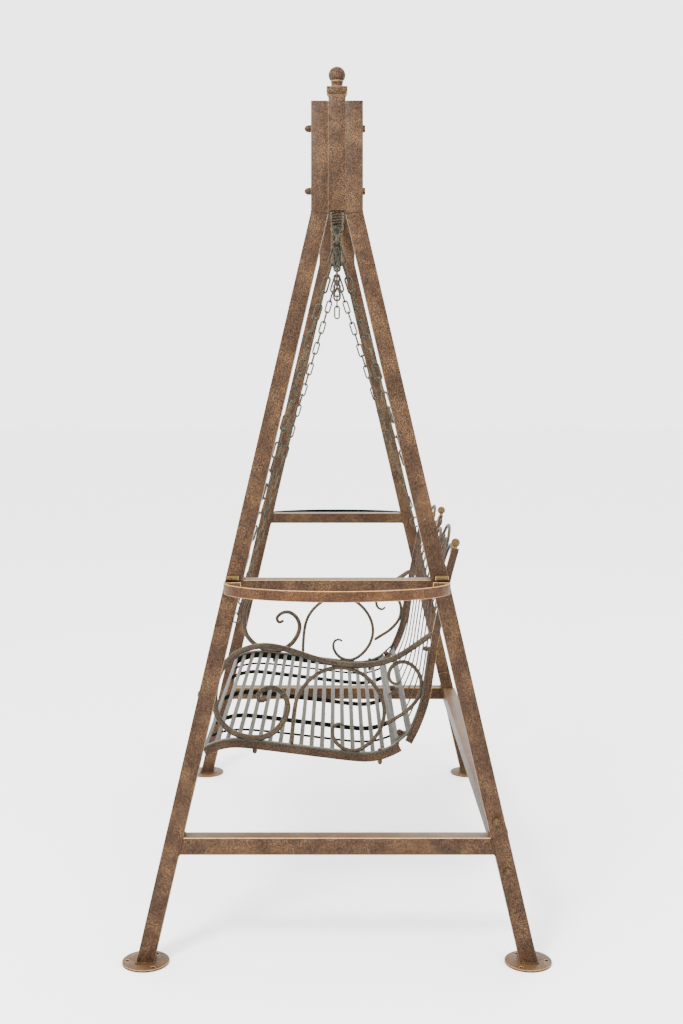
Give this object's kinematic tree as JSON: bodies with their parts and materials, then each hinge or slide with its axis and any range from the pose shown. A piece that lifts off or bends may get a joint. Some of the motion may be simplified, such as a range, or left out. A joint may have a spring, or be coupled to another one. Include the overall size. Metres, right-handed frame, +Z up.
{
  "type": "garden swing bench",
  "caption": "Wrought garden swing bench with scrolled arms, hung by chains and springs from a header between two A-frames with ball finials.",
  "frame": {"origin": "centre of the footprint on the ground", "axes": "+X along the bench and the header, -Y the way the bench faces, +Z up"},
  "size_m": [1.768, 1.002, 2.09],
  "materials": {
    "bronze_paint": "brushed antique bronze paint over steel",
    "aged_brass": "aged, satin",
    "dark_chain": "dull grey-green with brassy wear",
    "green_patina": "dark green-black patina",
    "grey_slats": "weathered grey-bronze"
  },
  "bodies": {
    "frame": {"leg_front_left": "bronze_paint", "leg_rear_left": "bronze_paint", "leg_front_right": "bronze_paint", "leg_rear_right": "bronze_paint", "foot_front_left": "bronze_paint", "foot_rear_left": "bronze_paint", "foot_front_right": "bronze_paint", "foot_rear_right": "bronze_paint", "lower_brace_left": "bronze_paint", "lower_brace_right": "bronze_paint", "mid_rail_left": "bronze_paint", "mid_rail_right": "bronze_paint", "side_hoop_left": "bronze_paint", "side_hoop_right": "bronze_paint", "hoop_pins": "aged_brass", "rear_stretcher": "bronze_paint", "stretcher_bolts": "aged_brass", "header_top_rail": "bronze_paint", "header_low_rail": "bronze_paint", "header_scrolls": "bronze_paint", "post_left": "bronze_paint", "post_right": "bronze_paint", "finial_left": "bronze_paint", "finial_right": "bronze_paint", "post_bolts": "aged_brass", "post_nuts": "aged_brass", "hanger_eyes": "bronze_paint"},
    "hangers": {"spring_left": "dark_chain", "spring_right": "dark_chain", "upper_hook_left": "dark_chain", "upper_hook_right": "dark_chain"},
    "bench": {"lower_hook_left": "dark_chain", "lower_hook_right": "dark_chain", "quick_links": "aged_brass", "chain_front_left": "dark_chain", "chain_rear_left": "dark_chain", "chain_front_right": "dark_chain", "chain_rear_right": "dark_chain", "chain_rings": "dark_chain", "spare_links": "dark_chain", "seat_rail_left": "bronze_paint", "seat_rail_right": "bronze_paint", "side_strip_left": "grey_slats", "side_strip_right": "grey_slats", "seat_slats": "grey_slats", "seat_bars": "green_patina", "seat_rods": "green_patina", "back_post_left": "bronze_paint", "back_post_right": "bronze_paint", "back_centre_post": "bronze_paint", "back_balls": "aged_brass", "back_bottom_rail": "grey_slats", "back_hoops": "bronze_paint", "back_rods": "green_patina", "back_scrolls": "bronze_paint", "arm_left": "bronze_paint", "arm_right": "bronze_paint", "arm_ring_scrolls": "bronze_paint", "arm_rear_scrolls": "bronze_paint", "bench_bolts": "aged_brass"}
  },
  "joints": [
    {"name": "swing", "type": "hinge", "parent": "frame", "child": "hangers", "pos_m": [0, 0, 1.8533], "axis": [1, 0, 0], "range_deg": [-25, 25]},
    {"name": "spring_stretch", "type": "slide", "parent": "hangers", "child": "bench", "axis": [0, 0, -1], "range_m": [0, 0.03], "stiffness_N_per_m": 30000, "springref_m": -0.016, "deforming": ["spring_left", "spring_right"]}
  ]
}
